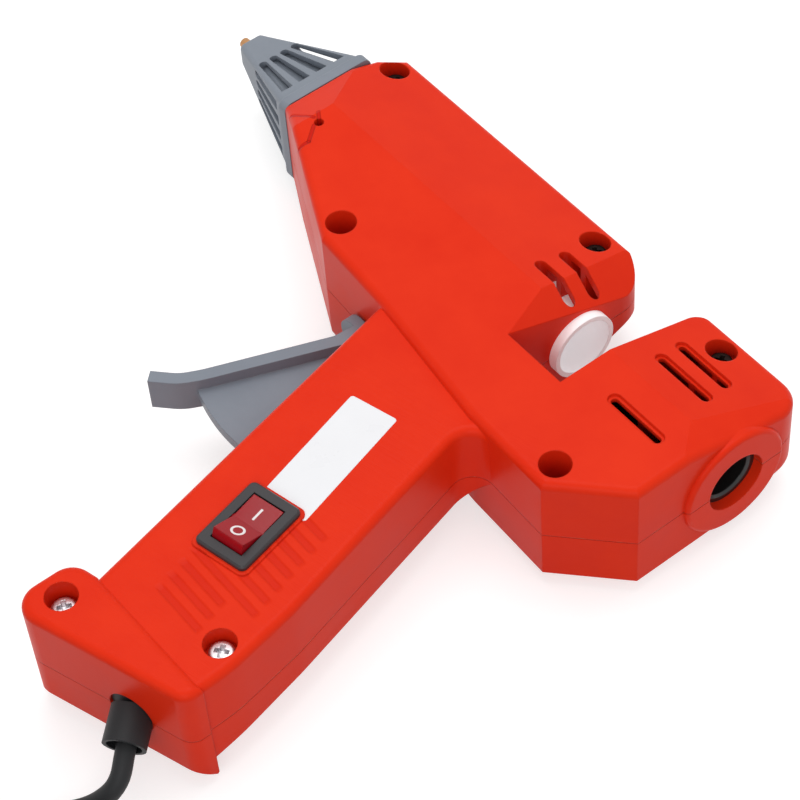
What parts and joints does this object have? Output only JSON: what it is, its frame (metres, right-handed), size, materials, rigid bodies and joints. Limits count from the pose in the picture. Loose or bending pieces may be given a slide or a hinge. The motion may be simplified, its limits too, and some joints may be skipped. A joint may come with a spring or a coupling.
{
  "type": "hot glue gun",
  "caption": "Pistol-grip hot-melt glue gun lying on its side, with a squeeze trigger, rocker switch, guarded nozzle, notched top over the stick feed and a coiled mains cord.",
  "frame": {"origin": "middle of the gun's footprint, on the surface that its right side lies on", "axes": "+X from the nozzle to the rear port, +Y from the foot of the grip to the top of the case, +Z out of the left side"},
  "size_m": [0.2122, 0.3322, 0.0413],
  "materials": {
    "red_case": "semi-gloss",
    "grey_plastic": "satin",
    "black_plastic": "satin",
    "white_plastic": "semi-gloss",
    "red_lens": "polished",
    "black_rubber": "matt",
    "silicone": "matt",
    "brass": "turned",
    "cast_aluminium": "cast",
    "steel": "zinc plated",
    "ceramic": "fired, unglazed"
  },
  "bodies": {
    "housing": {"left_shell": "red_case", "right_shell": "red_case", "case_screws": "steel", "nozzle_guard": "grey_plastic", "nozzle": "brass", "melt_chamber": "cast_aluminium", "heater": "ceramic", "heater_spring": "steel", "front_collar": "silicone", "inlet_collar": "silicone", "guide_tube": "black_plastic", "pivot_pin": "steel", "trigger_spring": "steel", "switch_body": "black_plastic", "switch_terminals": "brass", "live_lead": "black_rubber", "switched_lead": "black_rubber", "neutral_lead": "black_rubber", "cord_clamp": "black_plastic", "clamp_screws": "steel", "cord_sleeve": "black_rubber", "mains_cord": "black_rubber", "cord_coil": "black_rubber", "cord_tail": "black_rubber", "plug_body": "black_rubber", "plug_pins": "brass"},
    "trigger": {"trigger": "grey_plastic"},
    "feed_carriage": {"feed_sleeve": "white_plastic", "grip_ring": "steel"},
    "rocker": {"switch_rocker": "red_lens"}
  },
  "joints": [
    {"name": "trigger_hinge", "type": "hinge", "parent": "housing", "child": "trigger", "pos_m": [0.0105, 0.035, 0.0195], "axis": [0, 0, 1], "range_deg": [0, 20], "stiffness_Nm_per_rad": 0.15, "springref_deg": -28.65, "deforming": ["trigger_spring"]},
    {"name": "feed_slide", "type": "slide", "parent": "housing", "child": "feed_carriage", "axis": [1, 0, 0], "range_m": [-0.01115, 0]},
    {"name": "rocker_hinge", "type": "hinge", "parent": "housing", "child": "rocker", "pos_m": [0.0477, -0.0367, 0.0374], "axis": [0.9736, 0.2283, 0], "range_deg": [-20, 0]}
  ],
  "couplings": [
    {"joint": "feed_slide", "follows": "trigger_hinge", "m_per_rad": -0.031824}
  ]
}
